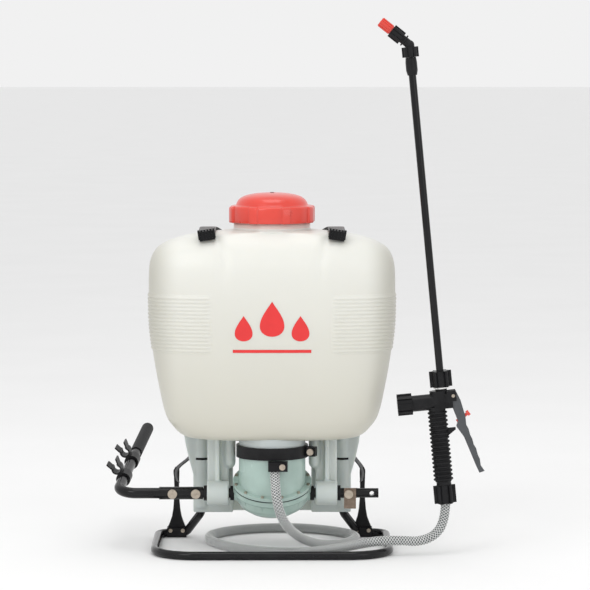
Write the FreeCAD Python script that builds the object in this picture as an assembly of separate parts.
import FreeCAD, Part
import math
import os

V = FreeCAD.Vector

# Backpack sprayer. Millimetres, +Z up. Origin: on the floor, under the tank's middle.
# -Y is the side away from the wearer, with the pump; +Y is the side that meets the back.

# ---- driving dimensions ----
TANK_WALL = 3.0
# height, half width and half depth of the tank's outer sections
TANK_LEVELS = [
    (172, 112, 58), (174, 126, 68), (179, 138, 75), (190, 149, 81), (205, 159, 85), (235, 167, 88), (295, 178, 90),
    (345, 184, 90), (400, 185, 89), (430, 184, 86), (445, 180.5, 82), (457, 173, 77), (466, 159, 71.5), (473, 140, 66),
    (479, 112, 61), (482, 80, 59),
]
SECTION_POWER = 3.4
NECK_R = 57.5
NECK_TOP = 508.0
NECK_WALL = 3.0
CAP_R = 64.0
CAP_BOTTOM = 496.0
CAP_RIM = 521.0
CAP_TOP = 540.0
DOME_R = 54.0

SHAFT_R = 7.5
SHAFT_Y = -20.0
SHAFT_Z = 88.0
SHAFT_LEFT = -165.0
SHAFT_RIGHT = 160.0
FREE_END_X = 128.0
FREE_END_R = 7.2
BUSH_R = 10.5
BOSS_R = 18.0
BOSS_IN = 65.5
BOSS_OUT = 98.0
RUN_GAP = 0.05
CROSS_HOLE_X = 150.0
CROSS_HOLE_R = 3.5

POD_IN = 60.0
POD_FRONT = 62.0
POD_BACK = 88.0
POD_BOTTOM = 46.0
POD_WALL = 4.0
# height and outer half width of the leg pods
POD_LEVELS = [(46, 121), (105, 121), (130, 128), (153, 133), (184, 137)]
LEG_X = 108.0
LEG_Y = 70.0
LEG_R = 12.0
POST_X = 64.0
POST_Y = -2.0
POST_R = 9.0
POST_LOW = 132.0
PANEL_LOW = 92.0

TUBE_R = 6.35
FRAME_X = 175.65
FRAME_FRONT = -103.0
FRAME_REAR = 114.0

PUMP_TILT = 21.0
PUMP_Y = -20.0
PUMP_FLANGE_R = 59.0
DOME_FOOT_R = 50.0
DOME_SHIFT = -1.0
NECK_FOOT_Z = 141.0
PUMP_WALL = 4.0
BAND_LOW = 144.0
BAND_HIGH = 162.0
BAND_R = 54.0
SPIGOT_R = 50.0
SPIGOT_LOW = 153.2
SCREW_COUNT = 12
SCREW_CIRCLE = 55.8
SCREW_R = 1.5
SCREW_HEAD_R = 2.4
FIRST_SCREW = 15.0
CRANK_R = 15.0
CRANK_REST = -20.0
PLUNGER_GAP = 0.35

LEVER_R = 8.0
LEVER_SLEEVE_R = 9.5
LEVER_CORNER = V(-234, SHAFT_Y, SHAFT_Z)
LEVER_END = V(-200, 280, 148)
GRIP_R = 9.5
BOLT_XS = (-115.0, -150.0)

HANDSET_FOOT = V(259.2, -62, 79)
HANDSET_LEAN = -5.5
WAND_X = 9.5
WAND_R = 5.5
WAND_START = 172.6
WAND_END = 642.0
ELBOW_Z = 684.0
NOZZLE_ANGLE = -46.0
TRIGGER_X = 25.5
TRIGGER_Z = 166.0
LOCK_ANGLE = 59.0
LOCK_X = 34.0
LOCK_Z = 130.5
VALVE_DROP = 6.0

HOSE_R = 7.0
# the hose's route, from the outlet under the clamp band to the foot of the handset
HOSE_ROUTE = [
    (4, -82.3, 130), (4.5, -88, 110), (7, -101, 88), (13, -102, 64), (25, -87, 44), (43, -65, 26), (68, -40, 13),
    (99, -10, 7.2), (124, 28, 7.2), (130, 67, 7.2), (115, 104, 7.2), (82, 137, 7.2), (32, 159, 7.2), (-30, 152, 7.2),
    (-80, 118, 7.2), (-101, 68, 7.2), (-88, 12, 7.2), (-54, -40, 7.2), (-4, -74, 7.2), (56, -84, 9), (106, -82, 22),
    (150, -76, 34), (190, -70, 33), (220, -66, 23), (245, -64.5, 31), (258, -62.6, 54), (259.2, -62, 79),
]


# ---- helpers ----
def cyl(base, axis, radius, length):
    return Part.makeCylinder(radius, length, V(*base), V(*axis))


def ring(base, axis, outer, inner, length):
    return cyl(base, axis, outer, length).cut(cyl(base, axis, inner, length))


def block(low, high):
    size = [b - a for a, b in zip(low, high)]
    return Part.makeBox(size[0], size[1], size[2], V(*low))


def fuse(*shapes):
    whole = shapes[0].fuse(list(shapes[1:])) if len(shapes) > 1 else shapes[0]
    return whole.removeSplitter()


def mirror_x(shape):
    return shape.mirror(V(0, 0, 0), V(1, 0, 0))


def turned(shape, centre, axis, degrees):
    copy = shape.copy()
    copy.rotate(V(*centre), V(*axis), degrees)
    return copy


def moved(shape, x, y, z):
    copy = shape.copy()
    copy.translate(V(x, y, z))
    return copy


def revolved(profile):
    """The solid of a closed outline of (radius, height) points, turned about Z."""
    points = [V(r, 0, z) for r, z in profile]
    face = Part.Face(Part.makePolygon(points + points[:1]))
    return face.revolve(V(0, 0, 0), V(0, 0, 1), 360)


def plate(outline, thickness, y=0.0):
    """A plate in the XZ plane, centred on y, from a closed outline of (x, z) points."""
    points = [V(x, y - thickness / 2, z) for x, z in outline]
    return Part.Face(Part.makePolygon(points + points[:1])).extrude(V(0, thickness, 0))


def route_wire(points, radii):
    """Straight runs joined by tangent arcs of the given radii."""
    edges = []
    at = points[0]
    for before, corner, after, radius in zip(points, points[1:], points[2:], radii):
        back = (before - corner).normalize()
        ahead = (after - corner).normalize()
        half_turn = (math.pi - back.getAngle(ahead)) / 2
        reach = radius * math.tan(half_turn)
        start = corner + back * reach
        end = corner + ahead * reach
        bisector = (back + ahead).normalize()
        middle = corner + bisector * (radius / math.cos(half_turn) - radius)
        edges.append(Part.LineSegment(at, start).toShape())
        edges.append(Part.Arc(start, middle, end).toShape())
        at = end
    edges.append(Part.LineSegment(at, points[-1]).toShape())
    return Part.Wire(edges)


def swept(wire, radius):
    start = wire.Edges[0]
    direction = start.tangentAt(start.FirstParameter)
    circle = Part.Wire(Part.makeCircle(radius, start.valueAt(start.FirstParameter), direction))
    return wire.makePipeShell([circle], True, False)


def free_radii(points):
    """Each arc is as large as its two runs allow."""
    radii = []
    for before, corner, after in zip(points, points[1:], points[2:]):
        back = before - corner
        ahead = after - corner
        half_turn = (math.pi - back.getAngle(ahead)) / 2
        radii.append(0.45 * min(back.Length, ahead.Length) / math.tan(half_turn))
    return radii


# ---- tank ----
def tank_section(height, half_width, half_depth):
    count = 40
    points = []
    for i in range(count):
        a = 2 * math.pi * (i + 0.5) / count
        c, s = math.cos(a), math.sin(a)
        x = half_width * math.copysign(abs(c) ** (2 / SECTION_POWER), c)
        y = half_depth * math.copysign(abs(s) ** (2 / SECTION_POWER), s)
        points.append(V(x, y, height))
    curve = Part.BSplineCurve()
    curve.interpolate(Points=points, PeriodicFlag=True)
    return Part.Wire(curve.toShape())


def tank_loft(inset):
    last = len(TANK_LEVELS) - 1
    wires = []
    for i, (height, half_width, half_depth) in enumerate(TANK_LEVELS):
        lift = inset * (1 - 2 * i / last)
        wires.append(tank_section(height + lift, half_width - inset, half_depth - inset))
    return Part.makeLoft(wires, True, True)


def pod_outline(x_in, y_front, y_back, shrink):
    points = [V(x_in, y_front, POD_LEVELS[0][0])]
    points += [V(half - shrink, y_front, z) for z, half in POD_LEVELS]
    points.append(V(x_in, y_front, POD_LEVELS[-1][0]))
    return Part.Face(Part.makePolygon(points + points[:1])).extrude(V(0, y_back - y_front, 0))


def leg_pod():
    """The right leg pod: a hollow box, open below, with the frame socket and the shaft boss."""
    shell = pod_outline(POD_IN, POD_FRONT, POD_BACK, 0).cut(
        pod_outline(POD_IN + POD_WALL, POD_FRONT + POD_WALL, POD_BACK - POD_WALL, POD_WALL))
    column = cyl((LEG_X, LEG_Y, POD_BOTTOM + 8), (0, 0, 1), LEG_R, 126)
    boss = cyl((BOSS_IN, SHAFT_Y, SHAFT_Z), (1, 0, 0), BOSS_R, BOSS_OUT - BOSS_IN)
    saddle = block((BOSS_IN + 3, SHAFT_Y, SHAFT_Z - 14), (BOSS_OUT - 3, POD_FRONT + 2, SHAFT_Z - 10))
    web = block((79, SHAFT_Y, SHAFT_Z - 16), (86, POD_FRONT + 2, 178))
    post = cyl((POST_X, POST_Y, POST_LOW), (0, 0, 1), POST_R, 178 - POST_LOW)
    foot = Part.makeSphere(POST_R, V(POST_X, POST_Y, POST_LOW))
    panel = block((BOSS_IN, POST_Y - 2, PANEL_LOW), (BOSS_OUT, POST_Y + 2, 178))
    pod = fuse(shell, column, boss, saddle, web, post, foot, panel)
    slot = block((LEG_X - 10, LEG_Y - LEG_R - 2, 127), (LEG_X + 10, LEG_Y - LEG_R + 2, 130.5))
    return pod.cut(slot)


def make_tank():
    outer = tank_loft(0)
    inner = tank_loft(TANK_WALL)
    neck = cyl((0, 0, 474), (0, 0, 1), NECK_R, NECK_TOP - 474)
    spigot = cyl((0, PUMP_Y, SPIGOT_LOW), (0, 0, 1), SPIGOT_R, 184 - SPIGOT_LOW)
    pod = leg_pod()
    band = block((-POD_IN - 2, 80, 46), (POD_IN + 2, POD_BACK, 66))
    shell = fuse(outer, neck, spigot, pod, mirror_x(pod), band)
    shell = shell.cut(inner)
    shell = shell.cut(cyl((0, 0, 470), (0, 0, 1), NECK_R - NECK_WALL, 60))
    shell = shell.cut(cyl((0, PUMP_Y, 140), (0, 0, 1), SPIGOT_R - 3.5, 60))
    for side in (-1, 1):
        shell = shell.cut(cyl((side * LEG_X, LEG_Y, 40), (0, 0, 1), TUBE_R + 0.02, 62))
        shell = shell.cut(cyl((side * 60, SHAFT_Y, SHAFT_Z), (side, 0, 0), BUSH_R, 60))
    return shell


def make_cap():
    wall = 3.0
    outline = [
        (61.3, CAP_BOTTOM), (CAP_R, CAP_BOTTOM), (CAP_R, CAP_RIM - 3), (CAP_R - 2, CAP_RIM), (DOME_R, CAP_RIM),
        (DOME_R - 3, CAP_TOP - 12), (DOME_R - 10, CAP_TOP - 6.2), (DOME_R - 20, CAP_TOP - 2.8), (15, CAP_TOP),
        (0, CAP_TOP), (0, CAP_TOP - wall), (14, CAP_TOP - wall), (DOME_R - 21.5, CAP_TOP - 6),
        (DOME_R - 12, CAP_TOP - 9.4), (DOME_R - 7, CAP_TOP - 14), (DOME_R - 7, 513.5), (61.3, 513.5),
    ]
    cap = revolved(outline)
    ridges = []
    for i in range(8):
        ridge = block((CAP_R - 3, -7, CAP_BOTTOM), (CAP_R + 2, 7, CAP_RIM - 2.5))
        ridges.append(turned(ridge, (0, 0, 0), (0, 0, 1), 19 + 45 * i))
    cap = fuse(cap, *ridges)
    return cap.cut(cyl((0, 0, CAP_TOP - 10), (0, 0, 1), 3.0, 20))


def make_vent():
    disc = cyl((0, 0, CAP_TOP - 5.2), (0, 0, 1), 9, 2)
    stem = cyl((0, 0, CAP_TOP - 4), (0, 0, 1), 2.8, 4.5)
    return fuse(disc, stem)


def make_basket():
    outline = [(0, 439), (48, 439), (53, 508.1), (57.2, 508.1), (57.2, 509.8), (51, 509.8), (46, 441), (0, 441)]
    basket = revolved(outline)
    for i in range(6):
        window = block((30, -14, 449), (70, 14, 494))
        basket = basket.cut(turned(window, (0, 0, 0), (0, 0, 1), 60 * i))
        drain = cyl((28, 0, 430), (0, 0, 1), 11, 20)
        basket = basket.cut(turned(drain, (0, 0, 0), (0, 0, 1), 30 + 60 * i))
    return basket


def make_strap_hook():
    """The right hook: a ribbed pad on the shoulder with a bar that the webbing loops over."""
    base = block((85, -70, 472), (108, -50, 486))
    ribs = [block((84 + 4.5 * i, -72, 474.5), (87 + 4.5 * i, -52, 488.5)) for i in range(6)]
    hook = fuse(base, *ribs)
    return turned(hook, (97, -62, 480), (0, 1, 0), 9)


# ---- carrying frame ----
def frame_wire():
    right = [
        V(LEG_X, LEG_Y, 100), V(LEG_X, LEG_Y, 46), V(134, FRAME_REAR, TUBE_R), V(FRAME_X, FRAME_REAR, TUBE_R),
        V(FRAME_X, FRAME_FRONT, TUBE_R),
    ]
    left = [V(-p.x, p.y, p.z) for p in reversed(right)]
    radii = [20, 14, 22, 62]
    return route_wire(right + left, radii + radii[::-1])


def make_frame():
    wire = frame_wire()
    return swept(wire, TUBE_R).cut(swept(wire, TUBE_R - 1.5))


def make_bracket(x, frame_solid):
    """A strap bracket: a foot over the tube and a slim upright with a webbing slot at its top."""
    right_side = [(15, 0.6), (15, 13), (11, 22), (7.5, 32), (5.4, 44), (4, 61), (3.6, 80), (4.2, 98), (4.2, 105),
                  (2.2, 109)]
    foot = plate(right_side + [(-across, up) for across, up in reversed(right_side)], 9)
    foot = fuse(foot, block((-15, -10, 0.6), (15, 10, 15)))
    foot = foot.cut(block((-5, -1.6, 97), (5, 1.6, 103)))
    return moved(foot, x, FRAME_REAR, 0).cut(frame_solid)


def make_bracket_screws(xs):
    screws = []
    for x in xs:
        for dx in (-9.5, 9.5):
            screws.append(cyl((x + dx, FRAME_REAR - 10.0, 11), (0, -1, 0), 3, 2.2))
    return Part.makeCompound(screws)


def make_shoulder_strap():
    """The right shoulder strap: webbing over the shoulder, then a pad down the back of the tank."""
    outline = [(64, 487.5), (76, 486), (93, 476), (106, 455), (112, 400), (114, 300), (112, 215), (102, 215),
               (100, 300), (97, 400), (93, 448), (84, 467), (74, 479), (64, 484.5)]
    points = [V(50, y, z) for y, z in outline]
    pad = Part.Face(Part.makePolygon(points + points[:1])).extrude(V(56, 0, 0))
    webbing = block((86, -49, 485), (111, 66, 487.5))
    return fuse(pad, webbing)


def make_buckle(x):
    frame = block((-16, -3, -12), (16, 3, 12)).cut(block((-11.5, -4, -8), (11.5, 4, -3)))
    frame = frame.cut(block((-11.5, -4, 3), (11.5, 4, 8)))
    return moved(frame, x, 107, 202)


def make_lower_webbing(x_top, x_low):
    """Webbing from the buckle down to the strap bracket, a thin folded band."""
    points = [V(x_top, 107, 189), V(x_top + (x_low - x_top) * 0.5, 110, 150), V(x_low, 107.5, 103)]
    parts = []
    for a, b in zip(points, points[1:]):
        run = b - a
        strip = Part.makeBox(22, 1.8, run.Length, V(-11, -0.9, 0))
        strip.Placement = FreeCAD.Placement(a, FreeCAD.Rotation(V(0, 0, 1), run))
        parts.append(strip)
    return fuse(*parts)


# ---- shaft, lever and crank ----
def make_shaft():
    shaft = cyl((SHAFT_LEFT, SHAFT_Y, SHAFT_Z), (1, 0, 0), SHAFT_R, FREE_END_X - SHAFT_LEFT)
    shaft = fuse(shaft, cyl((FREE_END_X, SHAFT_Y, SHAFT_Z), (1, 0, 0), FREE_END_R, SHAFT_RIGHT - FREE_END_X))
    shaft = shaft.cut(cyl((CROSS_HOLE_X, SHAFT_Y - 20, SHAFT_Z), (0, 1, 0), CROSS_HOLE_R, 40))
    for x in BOLT_XS + (115.0,):
        shaft = shaft.cut(cyl((x, SHAFT_Y - 20, SHAFT_Z), (0, 1, 0), 3.0, 40))
    return shaft


def make_bush():
    """The right bush, a flanged plastic sleeve pressed into the boss."""
    sleeve = cyl((BOSS_IN, SHAFT_Y, SHAFT_Z), (1, 0, 0), BUSH_R, BOSS_OUT - BOSS_IN)
    flange = cyl((BOSS_OUT, SHAFT_Y, SHAFT_Z), (1, 0, 0), 11.5, 5)
    bore = cyl((BOSS_IN - 1, SHAFT_Y, SHAFT_Z), (1, 0, 0), SHAFT_R + RUN_GAP, 60)
    return fuse(sleeve, flange).cut(bore)


def lever_wire():
    points = [V(SHAFT_LEFT + 2, SHAFT_Y, SHAFT_Z), LEVER_CORNER, LEVER_END]
    return route_wire(points, [26])


def make_lever():
    wire = lever_wire()
    arm = swept(wire, LEVER_R)
    sleeve = cyl((-104, SHAFT_Y, SHAFT_Z), (-1, 0, 0), LEVER_SLEEVE_R, 66)
    lever = fuse(arm, sleeve)
    lever = lever.cut(cyl((SHAFT_LEFT - 0.5, SHAFT_Y, SHAFT_Z), (1, 0, 0), SHAFT_R, 80))
    for x in BOLT_XS:
        lever = lever.cut(cyl((x, SHAFT_Y - 20, SHAFT_Z), (0, 1, 0), 3.0, 40))
    return lever.cut(grip_core())


def hand_direction():
    return (LEVER_END - LEVER_CORNER).normalize()


def on_hand(shape, distance):
    """Places a shape built on the Z axis onto the lever's hand part, its X side up and outward."""
    along = hand_direction()
    up = V(-0.55, 0, 0.83)
    side = along.cross(up).normalize()
    out = side.cross(along).normalize()
    at = LEVER_CORNER + along * distance
    matrix = FreeCAD.Matrix(out.x, side.x, along.x, at.x, out.y, side.y, along.y, at.y,
                            out.z, side.z, along.z, at.z, 0, 0, 0, 1)
    copy = shape.copy()
    copy.Placement = FreeCAD.Placement(matrix)
    return copy


def grip_core():
    length = (LEVER_END - LEVER_CORNER).Length
    return on_hand(ring((0, 0, 0), (0, 0, 1), 20, LEVER_R - 1.5, 122), length - 120)


def make_grip():
    length = (LEVER_END - LEVER_CORNER).Length
    grip = fuse(cyl((0, 0, 0), (0, 0, 1), GRIP_R, 120), Part.makeSphere(GRIP_R, V(0, 0, 120)))
    grip = grip.cut(cyl((0, 0, -1), (0, 0, 1), LEVER_R - 1.5, 121))
    return on_hand(grip, length - 120)


def make_clip(distance):
    collar = ring((0, 0, -11), (0, 0, 1), LEVER_R + 3, LEVER_R, 22)
    centre = LEVER_R + 3 + WAND_R + 1.5
    jaw = ring((centre, 0, -9), (0, 0, 1), WAND_R + 2.6, WAND_R + 0.1, 18)
    mouth = block((centre + 1.5, -4.4, -10), (centre + 20, 4.4, 10))
    jaw = jaw.cut(mouth)
    web = block((LEVER_R + 1, -4, -9), (centre - WAND_R - 0.5, 4, 9))
    lips = []
    for side in (-1, 1):
        lip = block((centre + 3.5, -1.1, -9), (centre + 15, 1.1, 9))
        lip = turned(lip, (centre + 3.5, 0, 0), (0, 0, 1), side * 14)
        lips.append(moved(lip, 0, side * (WAND_R + 0.3), 0))
    clip = fuse(collar, web, jaw, *lips)
    clip = clip.cut(cyl((centre, 0, -12), (0, 0, 1), WAND_R + 0.1, 24))
    return on_hand(clip, distance)


def make_lever_bolts():
    bolts = []
    for x in BOLT_XS:
        shank = cyl((x, SHAFT_Y - 9.4, SHAFT_Z), (0, 1, 0), 3.0, 18.8)
        head = cyl((x, SHAFT_Y - 13, SHAFT_Z), (0, 1, 0), 7, 3.6).cut(block((x - 7, -40, 87.3), (x + 7, -32.2, 88.7)))
        nut = cyl((x, SHAFT_Y + 9.4, SHAFT_Z), (0, 1, 0), 5.5, 5)
        bolts.append(fuse(shank, head, nut))
    return Part.makeCompound(bolts)


def make_stop_plate():
    """A bent zinc plate that hangs from the shaft's right end and limits its turn."""
    tab = block((108, SHAFT_Y - 13, 66), (126, SHAFT_Y - 10.5, 97))
    saddle = block((108, SHAFT_Y - 13, 84), (122, SHAFT_Y - SHAFT_R + 2, 92))
    tab = fuse(tab, saddle).cut(cyl((90, SHAFT_Y, SHAFT_Z), (1, 0, 0), SHAFT_R, 60))
    return tab.cut(cyl((115, -50, SHAFT_Z), (0, 1, 0), 3.0, 60))


def make_stop_bolt():
    shank = cyl((115, SHAFT_Y - 13, SHAFT_Z), (0, 1, 0), 3.0, 24)
    head = cyl((115, SHAFT_Y - 17, SHAFT_Z), (0, 1, 0), 6.5, 4)
    nut = cyl((115, SHAFT_Y + SHAFT_R + 0.5, SHAFT_Z), (0, 1, 0), 5, 4.5)
    return fuse(shank, head, nut)


# ---- pump, built on its own axis and tilted about the shaft ----
def on_pump(shape):
    copy = shape.copy()
    copy.rotate(V(0, 0, 0), V(1, 0, 0), PUMP_TILT)
    copy.translate(V(0, SHAFT_Y, SHAFT_Z))
    return copy


def around_flange(shape, index):
    """Turns a shape on the screw circle to the screw with the given number."""
    return turned(shape, (0, 0, 0), (0, 0, 1), FIRST_SCREW + 360 / SCREW_COUNT * index)


def screw_holes(shape):
    hole = cyl((SCREW_CIRCLE, 0, -40), (0, 0, 1), SCREW_R, 90)
    for i in range(SCREW_COUNT):
        shape = shape.cut(around_flange(hole, i))
    return shape


def make_lower_housing():
    outline = [(0, -22), (24, -22), (37.5, -17), (46.5, -7), (49, 3), (49, 15), (PUMP_FLANGE_R, 15),
               (PUMP_FLANGE_R, 8), (56, 5), (54, -6), (50, -13), (40, -21), (26, -25.5), (0, -25.5)]
    bowl = screw_holes(revolved(outline))
    for side in (-1, 1):
        bowl = fuse(bowl, cyl((side * 44, 0, 0), (side, 0, 0), 11.5, 13))
    for side in (-1, 1):
        bowl = bowl.cut(cyl((side * 38, 0, 0), (side, 0, 0), 9.5, 30))
    feet = [cyl((x, 0, -28.5), (0, 0, 1), 4, 4) for x in (-16, 24)]
    return on_pump(fuse(bowl, *feet))


def make_shaft_seal(side):
    seal = ring((side * 48, 0, 0), (side, 0, 0), 9.5, SHAFT_R + RUN_GAP, 9)
    flange = ring((side * 57, 0, 0), (side, 0, 0), 11, SHAFT_R + RUN_GAP, 6)
    return on_pump(fuse(seal, flange))


def make_diaphragm():
    return on_pump(screw_holes(cyl((0, 0, 15), (0, 0, 1), PUMP_FLANGE_R - 1, 2)))


def pump_dome(foot_radius, foot_height, rim_radius):
    """From a circle on the tilted flange up to a level circle under the tank's spigot."""
    foot = on_pump(Part.Wire(Part.makeCircle(foot_radius, V(0, DOME_SHIFT, foot_height))))
    rim = Part.Wire(Part.makeCircle(rim_radius, V(0, PUMP_Y, NECK_FOOT_Z)))
    return Part.makeLoft([foot, rim], True, True)


def make_upper_housing():
    """A tilted flange, a dome and the level neck under the tank's spigot."""
    top = SPIGOT_LOW - 0.2
    neck = cyl((0, PUMP_Y, NECK_FOOT_Z), (0, 0, 1), SPIGOT_R, top - NECK_FOOT_Z)
    flange = on_pump(screw_holes(cyl((0, 0, 17), (0, 0, 1), PUMP_FLANGE_R, 5)))
    housing = fuse(flange, pump_dome(DOME_FOOT_R, 21.5, SPIGOT_R), neck)
    housing = housing.cut(pump_dome(DOME_FOOT_R - PUMP_WALL, 16.5, SPIGOT_R - PUMP_WALL))
    housing = housing.cut(cyl((0, PUMP_Y, NECK_FOOT_Z - 0.5), (0, 0, 1), SPIGOT_R - PUMP_WALL, 6.5))
    for x, radius in ((-22, 9), (20, 7)):
        housing = housing.cut(cyl((x, PUMP_Y, 140), (0, 0, 1), radius, 20))
    return housing


def make_flange_screws():
    screws = []
    for i in range(SCREW_COUNT):
        shank = cyl((SCREW_CIRCLE, 0, 8), (0, 0, 1), SCREW_R, 14)
        head = cyl((SCREW_CIRCLE, 0, 22), (0, 0, 1), SCREW_HEAD_R, 2.2)
        screws.append(on_pump(around_flange(fuse(shank, head), i)))
    return Part.makeCompound(screws)


def make_flap(x, radius):
    return cyl((x, PUMP_Y, 153.2), (0, 0, 1), radius, 1.4)


def make_pressure_chamber():
    bottle = fuse(cyl((20, PUMP_Y, 155), (0, 0, 1), 21, 46), Part.makeSphere(21, V(20, PUMP_Y, 201)))
    return bottle.cut(fuse(cyl((20, PUMP_Y, 154), (0, 0, 1), 18.5, 47), Part.makeSphere(18.5, V(20, PUMP_Y, 201))))


def make_clamp_band():
    band = ring((0, PUMP_Y, BAND_LOW), (0, 0, 1), BAND_R, SPIGOT_R + 0.1, BAND_HIGH - BAND_LOW)
    band = band.cut(turned(block((40, PUMP_Y - 1.5, 130), (60, PUMP_Y + 1.5, 170)), (0, PUMP_Y, 0), (0, 0, 1), -14))
    ears = []
    for side in (-1, 1):
        ear = block((52, PUMP_Y + side * 4.2 - 2.2, BAND_LOW + 2), (68, PUMP_Y + side * 4.2 + 2.2, BAND_HIGH - 2))
        ear = ear.cut(cyl((61, PUMP_Y - 20, 153), (0, 1, 0), 2.5, 40))
        ears.append(turned(ear, (0, PUMP_Y, 0), (0, 0, 1), -14))
    return fuse(band, *ears)


def make_clamp_bolt():
    shank = cyl((61, PUMP_Y - 8, 153), (0, 1, 0), 2.5, 18)
    head = cyl((61, PUMP_Y - 11, 153), (0, 1, 0), 5, 3.5)
    nut = cyl((61, PUMP_Y + 6.5, 153), (0, 1, 0), 4.5, 4)
    return turned(fuse(shank, head, nut), (0, PUMP_Y, 0), (0, 0, 1), -14)


def make_outlet_block():
    body = block((-6, -92, 130), (23, -72.5, 143.5))
    return body.cut(cyl((0, PUMP_Y, 120), (0, 0, 1), BAND_R, 40)).cut(cyl((15, -100, 137), (0, 1, 0), 2.5, 40))


def make_outlet_screw():
    return fuse(cyl((15, -92, 137), (0, 1, 0), 2.5, 14), cyl((15, -95, 137), (0, 1, 0), 4.5, 3))


def make_crank():
    """The crank arm, keyed on the shaft, with the pin that drives the plunger."""
    hub = cyl((-6, 0, 0), (1, 0, 0), 10.5, 12)
    arm = block((-6, 0, -5), (6, CRANK_R + 2, 5))
    pin = cyl((-11, CRANK_R, 0), (1, 0, 0), 3.0, 22)
    crank = fuse(hub, arm, pin).cut(cyl((-10, 0, 0), (1, 0, 0), SHAFT_R, 20))
    return on_pump(turned(crank, (0, 0, 0), (1, 0, 0), CRANK_REST))


def make_plunger():
    """Two slotted cheeks under the plate that moves the diaphragm."""
    rest_height = CRANK_R * math.sin(math.radians(CRANK_REST))
    cheeks = []
    for x in (-10, 7):
        cheeks.append(block((x, 9, rest_height - 7), (x + 3, 21, 12)))
    slot = block((-12, 10, rest_height - 3 - PLUNGER_GAP), (12, 19, rest_height + 3 + PLUNGER_GAP))
    top = cyl((0, 0, 11.8), (0, 0, 1), 30, 2.8)
    return on_pump(fuse(*cheeks, top).cut(slot))


# ---- handset and wand, built upright and then leaned ----
def on_handset(shape):
    copy = shape.copy()
    copy.rotate(V(0, 0, 0), V(0, 1, 0), HANDSET_LEAN)
    copy.translate(HANDSET_FOOT)
    return copy


def on_valve(shape):
    """Places a shape drawn about the valve body, which sits lower on the handset than drawn."""
    return on_handset(moved(shape, 0, 0, -VALVE_DROP))


def winged_nut(radius, length, bore, wing=4.0):
    nut = cyl((0, 0, 0), (0, 0, 1), radius, length)
    wings = []
    for i in range(6):
        wings.append(turned(block((radius - 3, -1.6, 0), (radius + wing, 1.6, length)), (0, 0, 0), (0, 0, 1), 60 * i))
    return fuse(nut, *wings).cut(cyl((0, 0, -1), (0, 0, 1), bore, length + 2))


def make_hose_nut():
    return on_handset(winged_nut(12.5, 27, 7.3))


def make_grip_sleeve():
    """The ribbed hand grip, a rubber sleeve on the handset's stem."""
    count = 17
    pitch = 6.25
    outline = [(11, 33), (12.3, 33)]
    for i in range(count):
        base = 34 + pitch * i
        outline += [(12.3, base), (14.6, base + 1.6), (14.6, base + 3.2), (12.3, base + 4.8)]
    top = 34 + pitch * count
    outline += [(12.3, top), (11, top)]
    catch = plate([(12, 100), (25, 109), (25, 112), (12, 112)], 6)
    catch = catch.cut(cyl((0, 0, 94), (0, 0, 1), 11.05, 30))
    return on_handset(fuse(revolved(outline), catch))


def make_valve_body():
    stem = ring((0, 0, 27.2 + VALVE_DROP), (0, 0, 1), 11, 7.0, 116)
    lower = ring((0, 0, 146.3), (0, 0, 1), 13, 7.0, 5)
    core = fuse(cyl((4, 0, 148), (0, 0, 1), 13, 27), block((-8, -9, 148), (24, 9, 170)),
                cyl((-36, 0, 159), (1, 0, 0), 12, 40))
    ears = [block((16, y, 158), (30, y + 3, 174)) for y in (-9, 6)]
    spout = cyl((WAND_X, 0, 172), (0, 0, 1), 9.5, 6)
    body = fuse(stem, lower, core, spout, *ears)
    body = body.cut(cyl((TRIGGER_X, -20, TRIGGER_Z), (0, 1, 0), 2.5, 40))
    body = body.cut(cyl((-40, 0, 159), (1, 0, 0), 8, 44))
    body = body.cut(cyl((0, 0, 153), (1, 0, 0), 2.56, 40))
    body = body.cut(cyl((0, 0, 130), (0, 0, 1), 7.0, 24))
    body = body.cut(cyl((WAND_X, 0, 164), (0, 0, 1), 4.5, 30))
    body = body.cut(block((15.5, -5.8, 147), (34, 5.8, 180)))
    return on_valve(body)


def make_side_cap():
    cap = cyl((0, 0, 0), (0, 0, 1), 14, 22)
    teeth = [turned(block((12, -2.2, 0), (16, 2.2, 22)), (0, 0, 0), (0, 0, 1), 45 * i) for i in range(8)]
    cap = fuse(cap, *teeth).cut(cyl((0, 0, -1), (0, 0, 1), 10.5, 3))
    cap = turned(cap, (0, 0, 0), (0, 1, 0), -90)
    return on_valve(moved(cap, -36.2, 0, 159))


def make_handset_filter():
    return on_valve(ring((-32, 0, 159), (1, 0, 0), 7, 5.5, 28))


def make_wand_nut():
    return on_valve(moved(winged_nut(12.5, 24, WAND_R), WAND_X, 0, 180.4))


def make_white_ring():
    return on_valve(ring((WAND_X, 0, 178.1), (0, 0, 1), 12.0, 6, 2.0))


def make_trigger():
    """The trigger: a wide upper body and a finger-ridged lever, hinged at its top."""
    outline = [(20, 171), (31, 171), (36, 158), (41, 133), (41, 121), (44, 114), (45.5, 105), (48, 99), (49.5, 90),
               (52.5, 84), (54, 75), (56.5, 68), (57, 58), (62, 49), (54, 47), (50, 58), (36, 103), (30, 113),
               (26.5, 119), (29, 128), (22, 152), (20, 160)]
    trigger = plate(outline, 11)
    trigger = trigger.cut(cyl((TRIGGER_X, -20, TRIGGER_Z), (0, 1, 0), 2.56, 40))
    trigger = trigger.cut(block((24, -3.6, 104), (38, 3.6, 123)))
    return on_valve(trigger.cut(lock_pin(2.56, 60, -20)))


def lock_pin(radius, length, start):
    """A pin through the trigger, from the given place on the lock's axis."""
    pin = turned(cyl((0, 0, start), (0, 0, 1), radius, length), (0, 0, 0), (0, 1, 0), LOCK_ANGLE)
    return moved(pin, LOCK_X, 0, LOCK_Z)


def make_trigger_lock():
    pin = lock_pin(2.5, 19, -7.5)
    head = lock_pin(4.2, 4, 11.5)
    return on_valve(fuse(pin, head))


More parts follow.
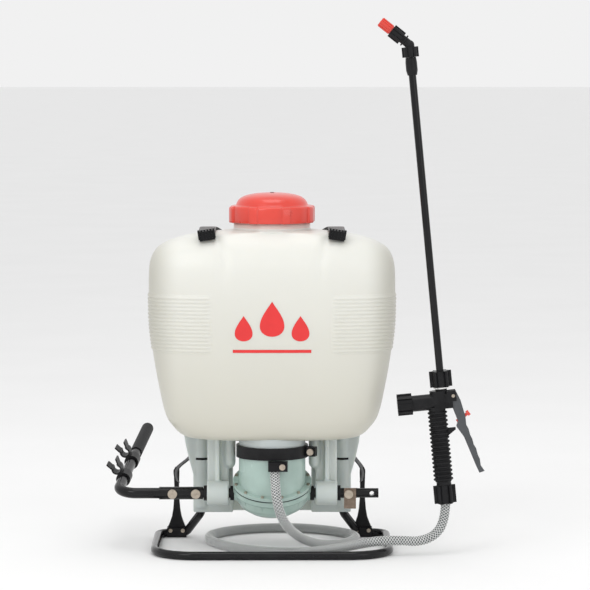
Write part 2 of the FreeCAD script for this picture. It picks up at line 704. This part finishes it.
def make_trigger_pin():
    return on_valve(cyl((TRIGGER_X, -9.5, TRIGGER_Z), (0, 1, 0), 2.5, 19))


def make_valve_stem():
    return on_valve(cyl((4, 0, 153), (1, 0, 0), 2.5, 17))


def make_wand():
    return on_handset(ring((WAND_X, 0, WAND_START), (0, 0, 1), WAND_R, WAND_R - 1.5, WAND_END - WAND_START + 22))


def make_collar():
    low = WAND_END - 3.0
    outline = [(WAND_R, low), (7, low), (8.6, low + 7), (8.6, low + 19), (7.8, low + 26.5), (WAND_R, low + 26.5)]
    return on_handset(moved(revolved(outline), WAND_X, 0, 0))


def make_elbow_nut():
    nut = winged_nut(10.5, 15, 7.2, 1.8)
    return on_handset(moved(nut, WAND_X, 0, WAND_END + 23.8))


def on_nozzle(shape):
    """Places a shape built on the Z axis onto the nozzle's own axis, which starts at the elbow."""
    return on_handset(moved(turned(shape, (0, 0, 0), (0, 1, 0), NOZZLE_ANGLE), WAND_X, 0, ELBOW_Z))


def make_elbow():
    lower = cyl((WAND_X, 0, WAND_END + 23.6), (0, 0, 1), 7.0, ELBOW_Z - WAND_END - 23.6)
    knee = Part.makeSphere(7.0, V(WAND_X, 0, ELBOW_Z))
    upper = fuse(cyl((0, 0, 0), (0, 0, 1), 6.5, 17), cyl((0, 0, 9), (0, 0, 1), 9.2, 2))
    return fuse(on_handset(fuse(lower, knee)), on_nozzle(upper))


def make_nozzle_nut():
    return on_nozzle(moved(winged_nut(8.6, 19, 6.52, 1.6), 0, 0, 17.3 - 2.5))


def make_nozzle_tip():
    tip = cyl((0, 0, 0), (0, 0, 1), 6.9, 21)
    ribs = [turned(block((5, -0.9, 1), (7.6, 0.9, 20)), (0, 0, 0), (0, 0, 1), 30 * i) for i in range(12)]
    tip = fuse(tip, *ribs, cyl((0, 0, -12), (0, 0, 1), 5.0, 13)).cut(cyl((0, 0, -13), (0, 0, 1), 1.2, 40))
    return on_nozzle(moved(tip, 0, 0, 34.2))


# ---- hose ----
def make_hose():
    points = [V(*p) for p in HOSE_ROUTE]
    radii = free_radii(points)
    wire = route_wire(points, radii)
    hose = swept(wire, HOSE_R)
    expected = math.pi * HOSE_R ** 2 * wire.Length
    print("hose radii", [round(r) for r in radii])
    print("hose length", round(wire.Length), "volume ratio", round(hose.Volume / expected, 4))
    print("hose runs", [round((b - a).Length) for a, b in zip(points, points[1:])])
    return hose


# ---- the assembly ----
def build():
    tank = make_tank()
    outer = tank_loft(0)
    frame = make_frame()
    frame_solid = swept(frame_wire(), TUBE_R)
    hook = make_strap_hook().cut(outer)
    strap = make_shoulder_strap()
    nodes = {
        "tank": tank,
        "tank_cap": make_cap(),
        "cap_gasket": ring((0, 0, 510.2), (0, 0, 1), 57, 49, 3.0),
        "cap_vent_valve": make_vent(),
        "filter_basket": make_basket(),
        "strap_hook_right": hook,
        "strap_hook_left": mirror_x(hook),
        "base_frame": frame,
        "strap_bracket_left": make_bracket(-148, frame_solid),
        "strap_bracket_right": make_bracket(140, frame_solid),
        "bracket_screws": make_bracket_screws((-148, 140)),
        "shoulder_strap_right": strap,
        "shoulder_strap_left": mirror_x(strap),
        "strap_buckle_right": make_buckle(78),
        "strap_buckle_left": make_buckle(-78),
        "lower_webbing_right": make_lower_webbing(78, 140),
        "lower_webbing_left": make_lower_webbing(-78, -148),
        "pump_shaft": make_shaft(),
        "shaft_bush_right": make_bush(),
        "shaft_bush_left": mirror_x(make_bush()),
        "lever_tube": make_lever(),
        "lever_grip": make_grip(),
        "wand_clip_lower": make_clip(72),
        "wand_clip_upper": make_clip(152),
        "lever_bolts": make_lever_bolts(),
        "stop_plate": make_stop_plate(),
        "stop_bolt": make_stop_bolt(),
        "pump_lower_housing": make_lower_housing(),
        "pump_upper_housing": make_upper_housing(),
        "shaft_seal_left": make_shaft_seal(-1),
        "shaft_seal_right": make_shaft_seal(1),
        "pump_diaphragm": make_diaphragm(),
        "flange_screws": make_flange_screws(),
        "intake_valve": make_flap(-22, 11),
        "outlet_valve": make_flap(20, 9),
        "pressure_chamber": make_pressure_chamber(),
        "clamp_band": make_clamp_band(),
        "clamp_bolt": make_clamp_bolt(),
        "outlet_block": make_outlet_block(),
        "outlet_screw": make_outlet_screw(),
        "crank_arm": make_crank(),
        "plunger": make_plunger(),
        "hose": make_hose(),
        "hose_nut": make_hose_nut(),
        "handset_grip": make_grip_sleeve(),
        "valve_body": make_valve_body(),
        "side_cap": make_side_cap(),
        "handset_filter": make_handset_filter(),
        "wand_nut": make_wand_nut(),
        "white_ring": make_white_ring(),
        "trigger": make_trigger(),
        "trigger_lock": make_trigger_lock(),
        "trigger_pin": make_trigger_pin(),
        "valve_stem": make_valve_stem(),
        "wand_tube": make_wand(),
        "wand_collar": make_collar(),
        "elbow_nut": make_elbow_nut(),
        "elbow": make_elbow(),
        "nozzle_nut": make_nozzle_nut(),
        "nozzle_tip": make_nozzle_tip(),
    }
    return nodes


def main():
    os.makedirs("parts", exist_ok=True)
    for name, shape in build().items():
        solids = shape.Solids
        print(f"{name:22s} solids {len(solids)} valid {shape.isValid()} volume {shape.Volume / 1000:.1f} cm3")
        shape = solids[0] if len(solids) == 1 else Part.makeCompound(solids)
        shape.exportStep(f"parts/{name}.step")


main()
